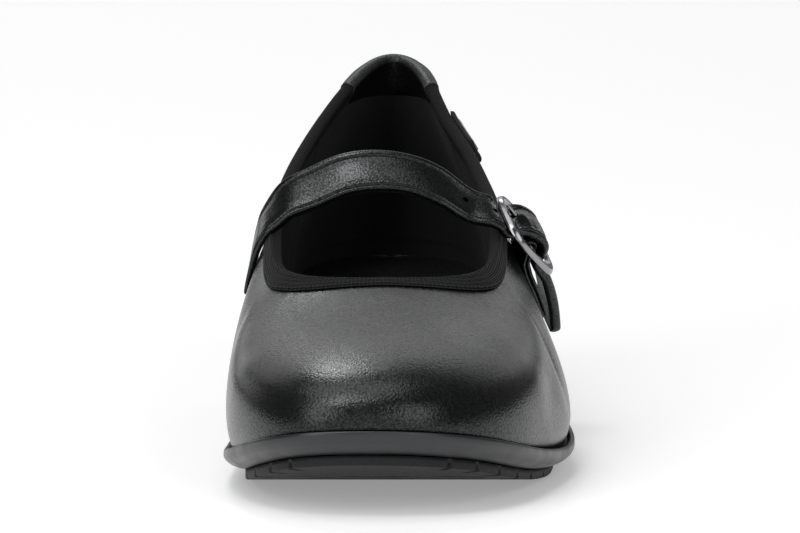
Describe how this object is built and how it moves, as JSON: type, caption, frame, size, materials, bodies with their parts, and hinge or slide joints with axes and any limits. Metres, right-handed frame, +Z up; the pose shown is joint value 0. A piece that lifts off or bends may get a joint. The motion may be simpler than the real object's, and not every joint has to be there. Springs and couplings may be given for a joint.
{
  "type": "ballet flat",
  "caption": "Left leather Mary Jane ballet flat with a rounded toe, bound square throat, instep strap with a ring buckle, and a moulded sole with a low block heel.",
  "frame": {"origin": "middle of the box round the whole shoe, on the floor it stands on", "axes": "+Z up, +Y towards the heel (the toe points to -Y), +X towards the little-toe side"},
  "size_m": [0.0956, 0.261, 0.0942],
  "materials": {
    "upper_leather": "fine grain, satin",
    "strap_leather": "fine grain, satin",
    "elastic_binding": "ribbed, matt",
    "insole_lining": "matt lining",
    "sole_rubber": "smooth, satin",
    "tread_rubber": "matt",
    "buckle_metal": "polished, slightly dark",
    "plain_tab": "satin"
  },
  "bodies": {
    "root": {"upper": "upper_leather", "topline_binding": "elastic_binding", "heel_collar": "upper_leather", "strap": "strap_leather", "buckle_tab": "strap_leather", "buckle_ring": "buckle_metal", "buckle_prong": "buckle_metal", "side_tab": "plain_tab", "insole": "insole_lining", "midsole": "sole_rubber", "heel_block": "sole_rubber", "forefoot_tread": "tread_rubber", "heel_tread": "tread_rubber"}
  },
  "joints": []
}
